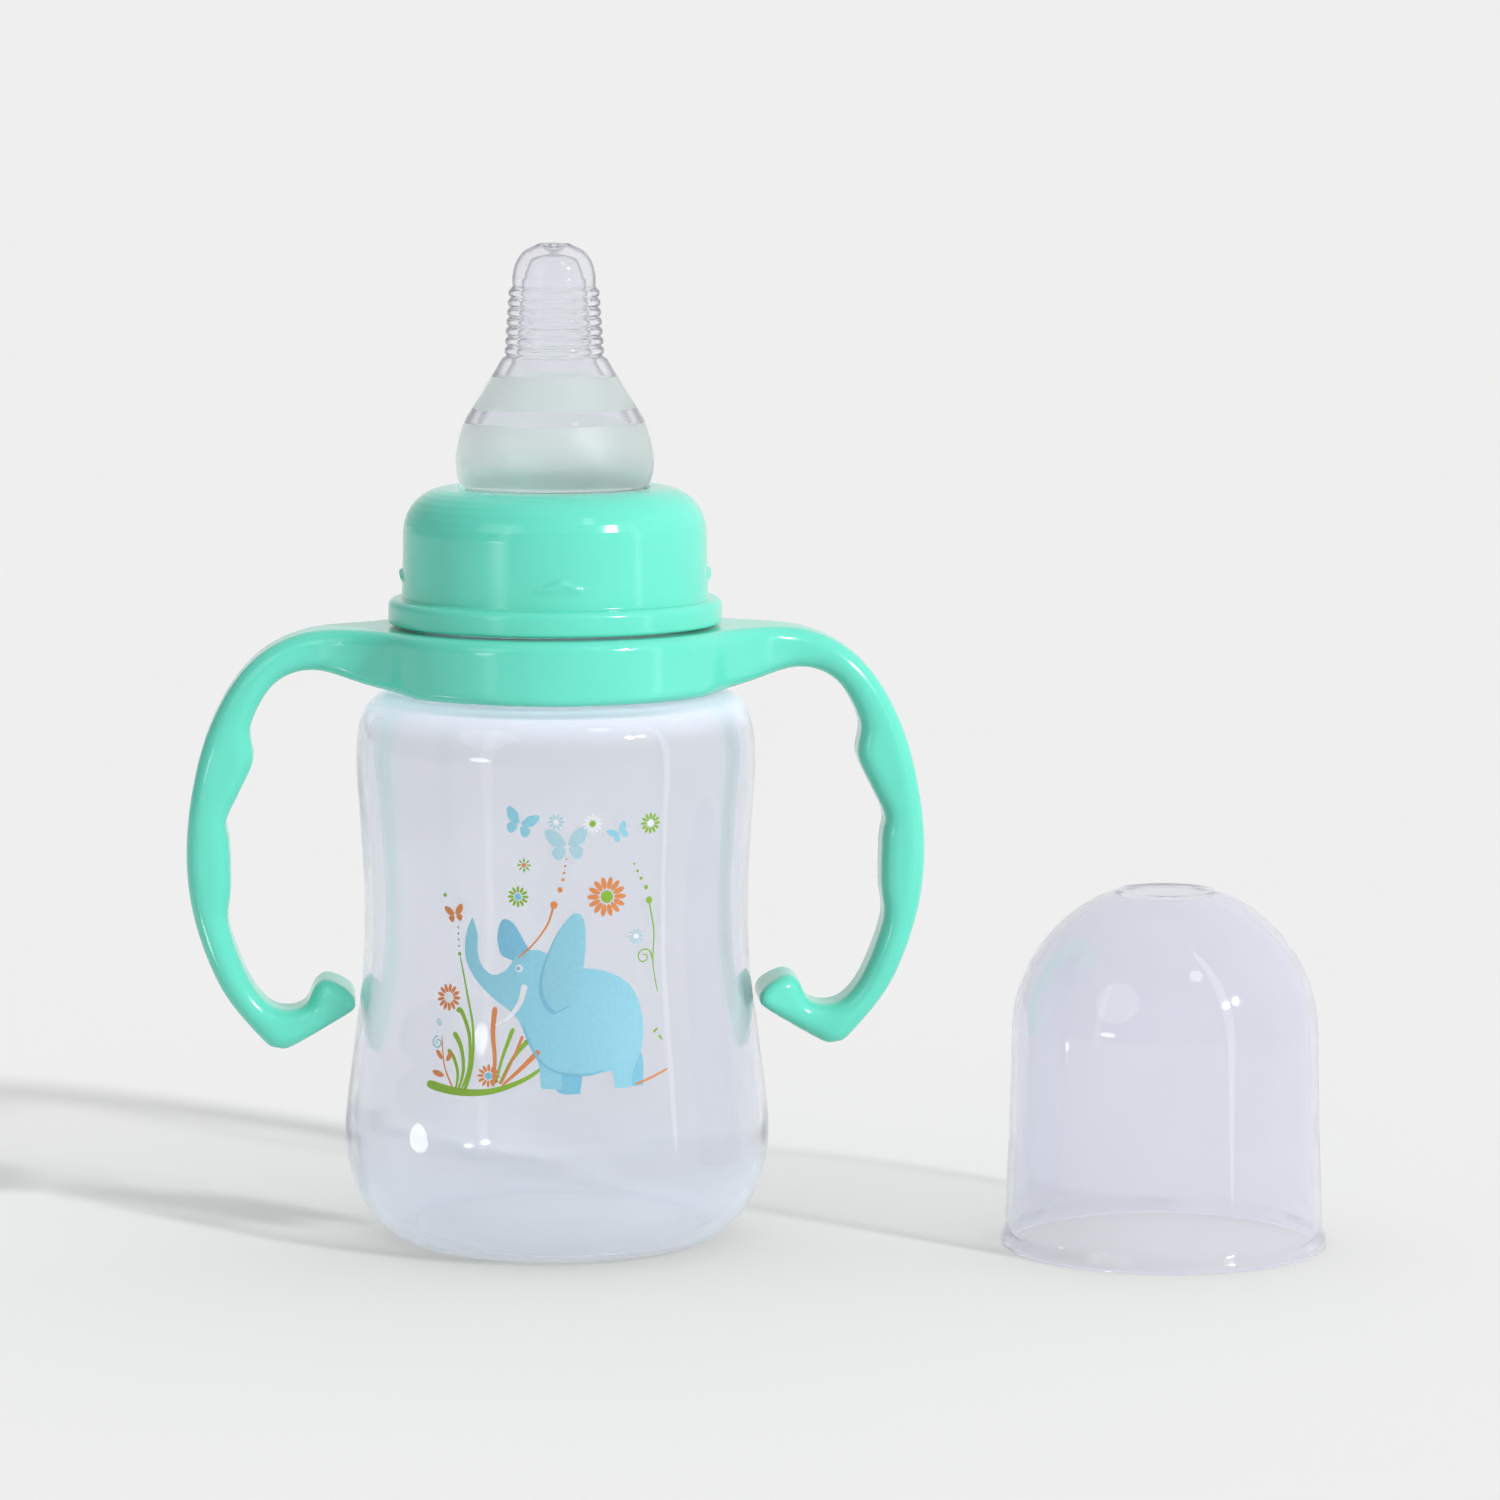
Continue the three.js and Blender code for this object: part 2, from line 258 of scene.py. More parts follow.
def skin(distance, low, high, step):
    """Vertices and quads of the surface where `distance` is zero: one vertex in each cell
    that the surface passes, moved onto it, and one quad for each grid edge that crosses it."""
    axes = [np.arange(a, b + step, step) for a, b in zip(low, high)]
    field = distance(*np.meshgrid(*axes, indexing="ij"))
    cells = np.array(field.shape) - 1
    total, count = np.zeros((*cells, 3)), np.zeros(cells)
    units = np.eye(3, dtype=int)

    def corner(offset):
        return field[tuple(slice(o, o + n) for o, n in zip(offset, cells))]

    for axis in range(3):
        for i in (0, 1):
            for j in (0, 1):
                start = i * units[(axis + 1) % 3] + j * units[(axis + 2) % 3]
                a, b = corner(start), corner(start + units[axis])
                crossing = (a < 0) != (b < 0)
                share = np.where(crossing, a / np.where(a == b, 1, a - b), 0)
                place = start + share[..., None] * units[axis]
                total += np.where(crossing[..., None], place, 0)
                count += crossing
    used = np.argwhere(count > 0)
    numbers = np.full(cells, -1)
    numbers[tuple(used.T)] = np.arange(len(used))
    inside_cell = total[tuple(used.T)] / count[tuple(used.T)][:, None]
    vertices = np.array(low) + step * (used + inside_cell)
    faces = []
    for axis in range(3):
        b, c = units[(axis + 1) % 3], units[(axis + 2) % 3]
        inside = np.moveaxis(field < 0, axis, 0)
        crossing = np.moveaxis(inside[:-1] != inside[1:], 0, axis)
        p = np.argwhere(crossing)
        outward = (field < 0)[tuple(p.T)]
        quads = np.stack([numbers[tuple((p - o).T)] for o in (0 * b, b, b + c, c)], axis=1)
        faces += np.where(outward[:, None], quads, quads[:, ::-1]).tolist()
    small, least_slope = 0.02, 0.5
    for _ in range(3):
        x, y, z = vertices.T
        here = distance(x, y, z)
        slope = np.stack(
            [
                distance(x + small, y, z) - distance(x - small, y, z),
                distance(x, y + small, z) - distance(x, y - small, z),
                distance(x, y, z + small) - distance(x, y, z - small),
            ],
            axis=1,
        ) / (2 * small)
        steep = np.maximum((slope**2).sum(axis=1), least_slope**2)
        vertices = vertices - np.clip(here / steep, -step / 2, step / 2)[:, None] * slope
    return vertices, faces


# Materials ----------------------------------------------------------------------------------

NOISE_LOW, NOISE_HIGH = 0.3, 0.7  # noise seldom goes beyond these
FOOT_ZONE = (8, 15)  # the heights over which the bottle's foot passes into its side
SHOULDER_ZONE = (72.5, 77)
NECK_ZONE = (79, 82)
# painted light: the colour of the glow that brightens the clear bottle where shade falls on it
PAINTED_GLOW_COLOUR = (0.75, 0.87, 1.0)


class Paint:
    """A short way to write a node material."""

    def __init__(self, name):
        self.material = bpy.data.materials.new(name)
        self.material.use_nodes = True
        self.tree = self.material.node_tree
        self.tree.nodes.clear()

    def node(self, kind, inputs=None, **settings):
        """A node, with its settings and its inputs' values or the outputs they come from."""
        made = self.tree.nodes.new("ShaderNode" + kind)
        for key, value in settings.items():
            setattr(made, key, value)
        for key, value in (inputs or {}).items():
            if isinstance(value, bpy.types.Node):
                value = value.outputs[0]
            if isinstance(value, bpy.types.NodeSocket):
                self.tree.links.new(value, made.inputs[key])
            else:
                made.inputs[key].default_value = value
        return made

    def noise(self, scale, detail=2.0, stretch=(1, 1, 1)):
        """Noise in the piece's own coordinates, from 0 to 1."""
        where = self.node("TexCoord").outputs["Object"]
        if stretch != (1, 1, 1):
            where = self.node("Mapping", {"Vector": where, "Scale": stretch})
        texture = self.node("TexNoise", {"Vector": where, "Scale": scale, "Detail": detail})
        return texture.outputs["Fac"]

    def height(self, low, high):
        """0 below one height and 1 above another, in millimetres, with a soft step."""
        where = self.node("TexCoord").outputs["Object"]
        place = self.node("SeparateXYZ", {0: where}).outputs["Z"]
        sizes = {"Value": place, "From Min": low * MM, "From Max": high * MM}
        return self.node("MapRange", sizes, interpolation_type="SMOOTHSTEP")

    def between(self, value, low, high):
        """A noise or facing value stretched over low to high."""
        sizes = {"From Min": NOISE_LOW, "From Max": NOISE_HIGH, "To Min": low, "To Max": high}
        return self.node("MapRange", {"Value": value, **sizes})

    def mixed(self, value, first, second):
        """A colour between two, by a noise or facing value."""
        ramp = self.node("ValToRGB", {"Fac": value})
        ends = ((NOISE_LOW, first), (NOISE_HIGH, second))
        for element, (position, colour) in zip(ramp.color_ramp.elements, ends):
            element.position = position
            element.color = (*colour, 1)
        return ramp

    def zoned(self, foot, side, shoulder, neck):
        """A value that changes with the height on the bottle."""
        value = self.node("MapRange", {0: self.height(*FOOT_ZONE), 3: foot, 4: side})
        for zone, change in ((SHOULDER_ZONE, shoulder - side), (NECK_ZONE, neck - shoulder)):
            part = self.node("MapRange", {0: self.height(*zone), 3: 0, 4: change})
            value = self.node("Math", {0: value, 1: part})
        return value

    def shader_mix(self, share, first, second):
        """Two shaders, with this share of the second."""
        return self.node("MixShader", {0: share, 1: first, 2: second})

    def bump(self, height, distance, strength=1.0):
        """A bump whose height is up to `distance` millimetres."""
        sizes = {"Height": height, "Distance": distance * MM, "Strength": strength}
        return self.node("Bump", sizes)

    def finish(self, shader):
        """Ends the material in this shader."""
        self.node("OutputMaterial", {"Surface": shader})
        return self.material


def linear(red, green, blue):
    """A colour for the shaders, from screen values between 0 and 255."""
    values = [v / 255 for v in (red, green, blue)]
    return tuple(v / 12.92 if v <= 0.04045 else ((v + 0.055) / 1.055) ** 2.4 for v in values)


def mint_plastic():
    """Glossy moulded plastic with a trace of orange peel and a slightly uneven gloss."""
    paint = Paint("mint_plastic")
    tone = paint.mixed(paint.noise(55, 3), linear(99, 216, 192), linear(104, 221, 198))
    gloss = paint.between(paint.noise(420, 4), 0.11, 0.19)
    peel = paint.bump(paint.noise(700, 2), 0.02, 0.35)
    swell = paint.bump(paint.noise(90, 1), 0.08, 0.25)
    paint.tree.links.new(peel.outputs[0], swell.inputs["Normal"])
    return paint.finish(
        paint.node(
            "BsdfPrincipled",
            {
                "Base Color": tone,
                "Roughness": gloss,
                "IOR": 1.5,
                "Normal": swell,
                "Subsurface Weight": 0.2,
                "Subsurface Radius": (0.5, 1.0, 0.9),
                "Subsurface Scale": 2 * MM,
            },
        )
    )


def see_through(name, tint, haze_colour, haze, shade, edge_shade, rough, wave, ior, glow=None):
    """Clear or cloudy plastic: refraction under a thin milky haze, with a shadow that is
    light in the middle and darker where the wall is seen edge on. The tint is a pair, the
    second for walls seen edge on. The haze is one share, or one each for the bottle's foot,
    side, shoulder and neck. The glow is painted light, an emission given for the same four
    zones or left out, that brightens the wall where shade falls on it."""
    paint = Paint(name)
    facing = paint.node("LayerWeight", {"Blend": 0.35}).outputs["Facing"]
    edge_on = paint.between(facing, 0, 1)
    gloss = paint.between(paint.noise(260, 5), *rough)
    scuffs = paint.bump(paint.noise(900, 3, (1, 1, 0.25)), 0.01, 0.15)
    swell = paint.bump(paint.noise(45, 2), wave, 0.5)
    paint.tree.links.new(scuffs.outputs[0], swell.inputs["Normal"])
    cloud = paint.mixed(paint.noise(120, 3), haze_colour, tuple(0.93 * c for c in haze_colour))
    inputs = {
        "Base Color": paint.mixed(edge_on, *tint),
        "Roughness": gloss,
        "IOR": ior,
        "Transmission Weight": 1.0,
        "Normal": swell,
    }
    # painted light: the wall glows by height, brightest where the yoke ring's shade falls on the
    # shoulder
    if glow:
        inputs["Emission Color"] = (*PAINTED_GLOW_COLOUR, 1)
        inputs["Emission Strength"] = paint.zoned(*glow)
    if isinstance(haze, tuple):
        haze = paint.zoned(*haze)
    clear = paint.node("BsdfPrincipled", inputs)
    dull = paint.node("BsdfDiffuse", {"Color": cloud})
    soft = paint.node("BsdfTranslucent", {"Color": cloud})
    milk = paint.shader_mix(0.5, dull, soft)
    mixed = paint.shader_mix(haze, clear, milk)
    shadow_tone = paint.mixed(facing, (shade,) * 3, (edge_shade,) * 3)
    shadow = paint.node("BsdfTransparent", {"Color": shadow_tone})
    path = paint.node("LightPath").outputs
    for kind in ("Is Shadow Ray", "Is Diffuse Ray"):
        mixed = paint.shader_mix(path[kind], mixed, shadow)
    return paint.finish(mixed)


def ink(name, colour):
    """Screen-printed ink: slightly uneven cover, satin, and a little light through it."""
    paint = Paint(name)
    darker = tuple(0.94 * c for c in colour)
    tone = paint.mixed(paint.noise(1800, 4), colour, darker)
    grain = paint.bump(paint.noise(4000, 2), 0.01, 0.4)
    solid = paint.node(
        "BsdfPrincipled", {"Base Color": tone, "Roughness": 0.35, "Normal": grain}
    )
    glow = paint.node("BsdfTranslucent", {"Color": tone})
    return paint.finish(paint.shader_mix(0.3, solid, glow))


MINT = mint_plastic()
BODY_CLEAR = see_through(
    "body_clear_polypropylene",
    tint=((0.907, 0.912, 0.948), (0.925, 0.94, 0.97)),
    haze_colour=linear(238, 242, 255),
    haze=(0.22, 0.1, 0.34, 0.12),
    shade=0.935,
    edge_shade=0.75,
    rough=(0.02, 0.06),
    wave=0.3,
    ior=1.49,
    # painted glow: lights the shoulder under the yoke ring's shade, and the foot and neck a little
    glow=(0.06, 0.006, 0.23, 0.04),
)
CAP_CLEAR = see_through(
    "cap_clear_polypropylene",
    tint=((0.925, 0.928, 0.98), (0.97, 0.97, 0.99)),
    haze_colour=linear(240, 241, 255),
    haze=0.16,
    shade=0.925,
    edge_shade=0.75,
    rough=(0.02, 0.07),
    wave=0.12,
    ior=1.49,
)
TEAT_CLEAR = see_through(
    "silicone_clear",
    # painted shade: the near-black second tint darkens the clear tip where its wall is seen edge
    # on, drawing its dark outline
    tint=((0.925, 0.93, 0.965), (0.2, 0.2, 0.24)),
    haze_colour=linear(232, 234, 240),
    haze=0.05,
    shade=0.97,
    edge_shade=0.8,
    rough=(0.03, 0.08),
    wave=0.05,
    ior=1.41,
)
TEAT_FROSTED = see_through(
    "silicone_frosted",
    tint=((0.92, 0.965, 0.965), (0.97, 0.98, 0.98)),
    haze_colour=linear(226, 238, 236),
    haze=0.14,
    shade=0.95,
    edge_shade=0.7,
    rough=(0.42, 0.55),
    wave=0.02,
    ior=1.41,
)


# The five mouldings -------------------------------------------------------------------------

BODY_SIDE = smooth(
    [
        (20, 0),
        (23, 1),
        (26.3, 4),
        (28.8, 8.8),
        (29.95, 15.8),
        (28.6, 28),
        (27.2, 40),
        (27.1, 52),
        (28, 67),
        (27.5, 73.4),
        (25.8, 76.6),
        (SHOULDER_RADIUS, SHOULDER_TOP),
    ],
    110,
)


def bottle_body():
    """The clear bottle: a waisted side, a shoulder, a neck band and a threaded neck."""
    rim, band_top = BODY_HIGH.z, YOKE_HIGH.z
    band_wall, under_shoulder = 1.8, 21.5
    band_bore = NECK_BAND_RADIUS - band_wall
    base_thickness, base_crown = 2.0, 0.5
    neck = filleted(
        [
            (SHOULDER_RADIUS, SHOULDER_TOP),
            (NECK_BAND_RADIUS, SHOULDER_TOP, 0.6),
            (NECK_BAND_RADIUS, band_top, 0.5),
            (NECK_ROOT_RADIUS, band_top + 1.2, 0.5),
            (NECK_ROOT_RADIUS, rim, 0.5),
            (NECK_BORE_RADIUS, rim, 0.5),
            (NECK_BORE_RADIUS, band_top + 0.6, 0.6),
            (band_bore, band_top - 1.2, 0.6),
            (band_bore, SHOULDER_TOP - 0.6, 0.8),
            (under_shoulder, SHOULDER_TOP - BODY_WALL),
        ]
    )
    thicker = 0.14  # how much the wall gains toward the shoulder and toward the foot
    inner_side = []
    for radius, height in reversed(inset(BODY_SIDE, BODY_WALL)):
        if height < SHOULDER_TOP - BODY_WALL and radius > NECK_BORE_RADIUS:
            gain = thicker * np.interp(height, [14.6, 17.0, 70.2, 71.6], [1, 0, 0, 1])
            inner_side.append((radius - gain, max(height, base_thickness)))
    inner_base = [(0, base_thickness + base_crown)]
    profile = spread([(0, 0)] + BODY_SIDE + neck[1:] + inner_side + inner_base, 0.8)

    def radius_at(radius, angle, height):
        if abs(radius - NECK_ROOT_RADIUS) > SAME_RADIUS or height < band_top:
            return radius
        return radius + THREAD_DEPTH * thread_height(angle, height, 0)

    made = mesh_piece(
        "bottle_shell", *turned(profile, 144, radius_at=radius_at), "bottle",
        "clear_polypropylene", BODY_CLEAR,
    )
    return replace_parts(made, "bottle_body")


def yoke_outlines():
    """The yoke's outline from the front, and from above, as closed lists of points."""
    outer = smooth(
        [
            (24, YOKE_HIGH.z),
            (35.2, 86.4),
            (43.2, 81.7),
            (48.8, 72.2),
            (51.6, 59.6),
            (51.2, 48),
            (47.4, 36.8),
            (41.6, 29.2),
            (39.2, 27.8),
            (36.8, 28.3),
            (29.6, 32.8),
            (28.4, 34.4),
            (29.4, 36.2),
            (32.2, 37.6),
            (34, 36.7),
            (35.4, 34),
            (38, 33.2),
            (40.7, 34.2),
            (43.4, 37.9),
            (46, 45.2),
            (45.7, 50.4),
            (45.8, 56.6),
            (46.2, 60),
            (44.4, 64),
            (42.4, 68.6),
            (42.7, 73.4),
            (39.4, 79.2),
            (34, 81.2),
            (26.4, 79.4),
            (19.5, YOKE_RING_BOTTOM - 0.2),
        ],
        240,
    )
    front = outer + [(-x, z) for x, z in reversed(outer)]
    ring, half_width, fillet, beyond = 26.0, 5.0, 17.0, 60.0
    fillet_y = half_width + fillet
    fillet_x = math.sqrt((ring + fillet) ** 2 - fillet_y**2)
    leaving = math.degrees(math.atan2(fillet_y, fillet_x))
    side = arc(0, 0, ring, -90, -leaving, 24)
    side += arc(fillet_x, -fillet_y, fillet, 180 - leaving, 90, 12)[1:]
    side.append((beyond, -half_width))
    side += [(x, -y) for x, y in reversed(side)]
    plan = side + [(-x, -y) for x, y in side[1:-1]]
    return front, plan


def handle_yoke():
    """The ring that turns on the neck, and its two open hooked handles, in one moulding."""
    front, plan = yoke_outlines()
    reach, depth, margin = YOKE_HIGH.x + 2, 28, 1.5
    front_at = distance_table(front, (-1, YOKE_LOW.z - 2), (reach, YOKE_HIGH.z + 2))
    plan_at = distance_table(plan, (-1, -1), (reach, depth + 2))
    bore, bore_edge = NECK_BAND_RADIUS + 0.5, 0.5
    ring_edge, handle_edge = 1.5, 2.3

    def distance(x, y, z):
        across, deep = np.abs(x), np.abs(y)
        edge = np.interp(across, [25, 38], [ring_edge, handle_edge])
        lower = np.minimum(edge, 0.8 + across / 25)  # a sharper lower edge near the ring
        edge = np.where(z < YOKE_RING_BOTTOM + 4, lower, edge)
        whole = rounded_both(front_at(across, z), plan_at(across, deep), edge)
        return rounded_both(whole, bore - np.hypot(x, y), bore_edge)

    low = (-reach, -depth, YOKE_LOW.z - margin)
    high = (reach, depth, YOKE_HIGH.z + margin)
    vertices, faces = skin(distance, low, high, 0.62)
    made = mesh_piece("handle_yoke_shell", vertices, faces, "handle", "mint_plastic", MINT)
    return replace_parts(made, "handle_yoke")


def screw_collar():
    """The mint screw ring: a flange, a wall with four snap nubs and a faint mould seam, and an
    inner thread."""
    bottom, top = COLLAR_LOW.z, COLLAR_HIGH.z
    flange_top, flange_radius = bottom + 3.5, 23.4
    ceiling = top - COLLAR_ROOF
    outside = filleted(
        [
            (20.2, bottom, 0.2),
            (flange_radius, bottom, 0.5),
            (flange_radius, flange_top, 1.0),
            (COLLAR_WALL_RADIUS + 0.1, flange_top, 0.35),
            (COLLAR_WALL_RADIUS - 0.3, top, 6.2),
            (COLLAR_HOLE_RADIUS, top, 0.7),
            (COLLAR_HOLE_RADIUS, ceiling, 0.4),
            (18.2, ceiling, 0.3),
            (COLLAR_INNER_RADIUS, ceiling - 3, 1.0),
            (COLLAR_INNER_RADIUS, bottom + 1.6, 0.5),
        ],
        8,
    )
    profile = spread(outside + outside[:1], 0.2)[:-1]
    nub_height, nub_length, nub_out, nub_fall = flange_top + 3, 3.5, 0.45, 0.35
    outer_wall, outer_skin = 20.9, 20.5  # radii beyond which nubs and the seam may stand out
    seam_angle, seam_width, seam_out = math.radians(68), 0.35, 0.05

    def radius_at(radius, angle, height):
        quarter = (angle + math.pi / 4) % (math.pi / 2) - math.pi / 4
        along = abs(quarter) * radius / nub_length
        if radius > outer_wall and abs(height - nub_height) < 1.5 and along < 1:
            foot, crest = nub_height - 0.8, nub_height + 0.9 - 1.3 * along
            rise = (height - foot) / (crest - foot)
            fall = (crest + nub_fall - height) / nub_fall
            radius += nub_out * max(0, min(rise, fall, 1)) * min(2.5 * (1 - along), 1)
        if abs(radius - COLLAR_INNER_RADIUS) < SAME_RADIUS and height < ceiling - 3:
            radius -= THREAD_DEPTH * thread_height(angle, height, math.pi)
        seam = abs(math.remainder(angle + seam_angle, 2 * math.pi)) * radius
        if radius > outer_skin:
            radius += seam_out * max(0, 1 - seam / seam_width)
        return radius

    made = mesh_piece(
        "screw_collar_shell", *turned(profile, 256, radius_at=radius_at), "collar",
        "mint_plastic", MINT,
    )
    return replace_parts(made, "screw_collar")


def teat():
    """The silicone teat: a clamped flange, a frosted bulb with a clear band, and a clear
    ribbed nipple."""
    flange_low, tip = TEAT_LOW.z, TEAT_HIGH.z
    flange_high = flange_low + 1.8
    neck_high = COLLAR_HIGH.z + 0.3
    ribs_low, ribs_high, rib_count, rib_steps = 124.8, 134.2, 7, 12
    low_crest, high_crest, rib_depth = 7.0, 6.3, 0.32
    hole, hole_depth = 0.5, 1.4
    clear_from, clear_band = 121.7, (115.4, 117.4)
    outside = filleted(
        [
            (11.2, neck_high),
            (11.2, flange_low, 0.4),
            (17.6, flange_low, 0.4),
            (17.6, flange_high, 0.4),
            (12.6, flange_high, 0.3),
            (12.6, neck_high, 0.3),
            (13.2, neck_high),
        ]
    )[1:-1]
    outside += smooth([(13.2, neck_high), (13.75, 108.4), (13.85, 110.6), (13.4, 113.2)], 14)
    outside += smooth([(13.4, 113.2), (12.75, 115.2), (12.3, 116.2), (11.5, 117.5)], 10)[1:]
    outside += smooth([(11.5, 117.5), (10.3, 119.4), (8.6, 122.2), (7.3, 124.4)], 12)[1:]
    for i in range(rib_count * rib_steps + 1):
        share = i / (rib_count * rib_steps)
        crest = low_crest + (high_crest - low_crest) * share
        groove = 0.5 + 0.5 * math.cos(2 * math.pi * rib_count * share)
        height = ribs_low + (ribs_high - ribs_low) * share
        outside.append((crest - rib_depth * groove**3, height))
    outside += smooth([(5.8, 134.4), (5.8, 135.8), (5.35, 137.7), (4.2, 139.3), (2.5, 140.2)], 24)
    hole_end = tip - hole_depth
    outside += filleted([(2.1, tip), (hole, tip, 0.15), (hole, hole_end, 0.15), (1.2, hole_end)])
    inside = smooth([(1.6, 139), (3.2, 138), (4.2, 136), (4.6, 134), (5.3, 124.8)], 40)
    inside += smooth([(5.3, 124.8), (7.1, 121.8), (11, 115.2), (12.2, 110.3), (11.2, 107)], 30)[1:]
    profile = spread(outside + inside, 0.6)
    vertices, faces = turned(profile, 144)
    made = mesh_piece(
        "teat_shell", vertices, faces, "teat", "silicone", TEAT_FROSTED, TEAT_CLEAR
    )
    for face in made.data.polygons:
        height = face.center.z / MM
        clear = height > clear_from or clear_band[0] < height < clear_band[1]
        face.material_index = int(clear)
    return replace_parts(made, "teat")


def hood_cap():
    """The clear cap: a flared lip, a slightly tapered wall and a dome with a flat top that is
    dished a little."""
    height = CAP_HIGH.z
    centre = ((CAP_LOW.x + CAP_HIGH.x) / 2, (CAP_LOW.y + CAP_HIGH.y) / 2)
    wall, top_wall, dish = 0.9, 0.7, 0.2
    dome, flat = 21.5, 6.6
    dome_z = height - math.sqrt(dome**2 - flat**2)
    flat_from = math.degrees(math.acos(flat / dome))
    dome_side = arc(0, dome_z, dome, 1, flat_from - 2, 40)
    top = filleted(
        [
            dome_side[-1],
            (flat, height, 0.6),
            (flat - 0.7, height, 0.4),
            (flat - 1.7, height - dish, 0.8),
            (0, height - dish),
        ]
    )
    outside = filleted(
        [
            (21.6, 3),
            (21.6, 0, 0.5),
            (22.9, 0, 0.4),
            (22.9, 1.1, 0.4),
            (22.35, 2.4, 1.5),
            (22.3, 3.2),
        ]
    )[1:-1]
    outside += smooth([(22.3, 3.2), (22.1, 9), (21.75, 18), (21.5, dome_z)], 24)
    outside += dome_side + top[1:]
    under = height - dish - top_wall
    inner_dome = dome - wall
    inner_flat = math.degrees(math.asin((under - dome_z) / inner_dome))
    inside = [(0, under)] + arc(0, dome_z, inner_dome, inner_flat, 0, 40)
    inside += smooth([(20.85, 18), (21.2, 9), (21.45, 3), (21.6, 0.6)], 24)
    profile = spread(inside + outside, 1.0)
    made = mesh_piece(
        "hood_cap_shell", *turned(profile, 160, centre), "cap", "clear_polypropylene", CAP_CLEAR
    )
    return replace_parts(made, "hood_cap")


# The print on the bottle's front ------------------------------------------------------------
#
# Its shapes are drawn flat, as (across, height) in millimetres. Across is measured along the
# bottle's skin from the middle of its front. They are then wrapped onto the side.

PRINT_RADIUS = 27.3
INK_THICKNESS = 0.03
LAYER_STEP = 1.15 * INK_THICKNESS
FACET_WIDTH, FACET_HEIGHT = 0.9, 2.0
LIGHT_BLUE = ink("ink_light_blue", linear(160, 221, 238))
BLUE = ink("ink_blue", linear(140, 208, 232))
PALE_BLUE = ink("ink_pale_blue", linear(188, 224, 234))
GREEN = ink("ink_green", linear(154, 198, 66))
ORANGE = ink("ink_orange", linear(232, 154, 92))
WHITE = ink("ink_white", linear(244, 247, 250))


def wrapped(across, height, lift):
    """The point on the bottle's side, raised by `lift`."""
    heights = [z for _, z in BODY_SIDE]
    radius = np.interp(height, heights, [r for r, _ in BODY_SIDE]) + lift
    angle = across / PRINT_RADIUS
    return radius * math.sin(angle), -radius * math.cos(angle), height


def printed(name, outlines, paint, layer=0):
    """A thin closed film of ink for each flat outline, wrapped onto the bottle. Films of a
    higher layer lie over those of a lower one."""
    vertices, faces = [], []
    low = INK_THICKNESS + LAYER_STEP * layer
    for outline in outlines:
        flat = bmesh.new()
        flat.faces.new([flat.verts.new((u, z, 0)) for u, z in outline])
        flat.normal_update()
        bmesh.ops.triangulate(flat, faces=flat.faces[:])
        for axis, step in enumerate((FACET_WIDTH, FACET_HEIGHT)):
            places = [p[axis] for p in outline]
            for cut in np.arange(math.floor(min(places) / step) * step, max(places), step):
                side = [float(axis == 0), float(axis == 1), 0]
                parts = flat.verts[:] + flat.edges[:] + flat.faces[:]
                bmesh.ops.bisect_plane(flat, geom=parts, plane_co=Vector(side) * cut, plane_no=side)
        bmesh.ops.triangulate(flat, faces=flat.faces[:])
        flat.normal_update()
        flat.verts.index_update()
        first, count = len(vertices), len(flat.verts)
        for lift in (low, low + INK_THICKNESS):
            vertices += [wrapped(v.co.x, v.co.y, lift) for v in flat.verts]
        for face in flat.faces:
            turn = 1 if face.normal.z > 0 else -1
            corners = [v.index + first for v in face.verts][::turn]
            faces.append([c + count for c in corners])
            faces.append(corners[::-1])
            for rim in [part for part in face.loops if part.edge.is_boundary]:
                ends = [rim.vert.index + first, rim.link_loop_next.vert.index + first][::turn]
                faces.append([*ends, ends[1] + count, ends[0] + count])
        flat.free()
    made = mesh_piece(name, vertices, faces, "bottle", "print_ink", paint)
    made.data.polygons.foreach_set("use_smooth", [False] * len(made.data.polygons))
    return made


def loop(points, steps=6):
    """A smooth closed outline through the points."""
    around = points[-2:] + points + points[:3]
    curve = smooth(around, steps * (len(around) - 1))
    return curve[2 * steps : -3 * steps]


def put(points, across, height, tilt):
    """The points turned by `tilt` degrees and moved to a place."""
    turn = math.radians(tilt)
    moved = []
    for x, y in points:
        right = across + x * math.cos(turn) - y * math.sin(turn)
        up = height + x * math.sin(turn) + y * math.cos(turn)
        moved.append((right, up))
    return moved


def ellipse(across, height, length, width, tilt=0.0, steps=20):
    """An ellipse whose length lies at `tilt` degrees from the horizontal."""
    circle = arc(0, 0, 0.5, 0, 360 * (1 - 1 / steps), steps - 1)
    return put([(x * length, y * width) for x, y in circle], across, height, tilt)


def dot(across, height, size):
    """A round dot of this diameter."""
    return ellipse(across, height, size, size, steps=16)


def ribbon(points, start, end, steps=24):
    """A brush stroke along a smooth line, from one width to another, with round ends."""
    line = smooth(points, steps)
    left, right = [], []
    for i, (x, y) in enumerate(line):
        ax, ay = line[max(i - 1, 0)]
        bx, by = line[min(i + 1, steps)]
        length = math.hypot(bx - ax, by - ay)
        half = (start + (end - start) * i / steps) / 2
        half *= math.sqrt(min(1, 0.25 + i / 2, 0.25 + (steps - i) / 2))
        left.append((x - half * (by - ay) / length, y + half * (bx - ax) / length))
        right.append((x + half * (by - ay) / length, y - half * (bx - ax) / length))
    return right + left[::-1]


def spiral(across, height, size, turns=1.4, start=0.0):
    """The centre line of a small curl."""
    points = []
    steps, shrink = 14, 0.8
    for i in range(steps + 1):
        angle = math.radians(start) + 2 * math.pi * turns * i / steps
        reach = size * (1 - shrink * i / steps)
        points.append((across + reach * math.cos(angle), height + reach * math.sin(angle)))
    return points


